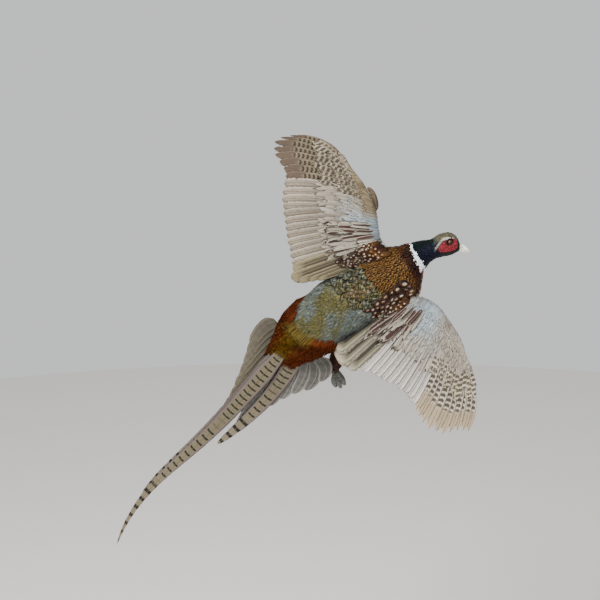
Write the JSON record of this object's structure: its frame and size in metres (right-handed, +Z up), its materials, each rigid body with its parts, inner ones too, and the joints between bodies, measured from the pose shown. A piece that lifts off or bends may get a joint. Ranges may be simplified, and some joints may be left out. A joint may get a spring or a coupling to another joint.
{
  "type": "taxidermy pheasant wall mount",
  "caption": "Cock ring-necked pheasant mounted in flight, back to the room, wings raised, long barred tail trailing, on a rod from a round wall rosette.",
  "frame": {"origin": "centre of the wall rosette's back face, on the wall", "axes": "+Y into the wall, +Z up the wall, +X to the right as seen from the room; the trunk heads up and to the right and its back faces -Y"},
  "size_m": [0.7481, 0.2104, 0.8648],
  "materials": {
    "head_plumage": "iridescent green-black feathers, white collar",
    "back_plumage": "golden-brown feathers with black tips and cream drops",
    "rump_plumage": "pale green-grey feathers, rust at the sides",
    "wing_coverts": "pale blue-grey feathers with maroon centres",
    "flight_feathers": "beige vanes chequered with brown",
    "tail_feathers": "olive-beige vanes barred with black",
    "thigh_plumage": "dark brown downy feathers",
    "red_skin": "bare skin with small warts, painted red",
    "horn": "pale horn, satin",
    "eye_glass": "polished glass, brown iris",
    "leg_scales": "grey scaled skin, satin",
    "turned_wood": "turned, satin varnish",
    "rod_steel": "bright drawn rod"
  },
  "bodies": {
    "root": {"head": "head_plumage", "neck": "head_plumage", "trunk": "back_plumage", "rump": "rump_plumage", "bill_upper": "horn", "bill_lower": "horn", "eye_left": "eye_glass", "wattle_left": "red_skin", "eye_right": "eye_glass", "wattle_right": "red_skin", "wing_left_arm": "wing_coverts", "wing_left_hand": "wing_coverts", "wing_left_tertials": "flight_feathers", "wing_left_secondaries": "flight_feathers", "wing_left_primaries": "flight_feathers", "wing_right_arm": "wing_coverts", "wing_right_hand": "wing_coverts", "wing_right_tertials": "flight_feathers", "wing_right_secondaries": "flight_feathers", "wing_right_primaries": "flight_feathers", "wing_left_alula": "flight_feathers", "wing_right_alula": "flight_feathers", "tail_central_upper": "tail_feathers", "tail_central_lower": "tail_feathers", "tail_second_right": "tail_feathers", "tail_fan_right": "tail_feathers", "tail_fan_left": "tail_feathers", "thigh_right": "thigh_plumage", "tarsus_right": "leg_scales", "foot_right": "leg_scales", "thigh_left": "thigh_plumage", "tarsus_left": "leg_scales", "foot_left": "leg_scales", "stand_wall_rosette": "turned_wood", "stand_rod": "rod_steel"}
  },
  "joints": []
}
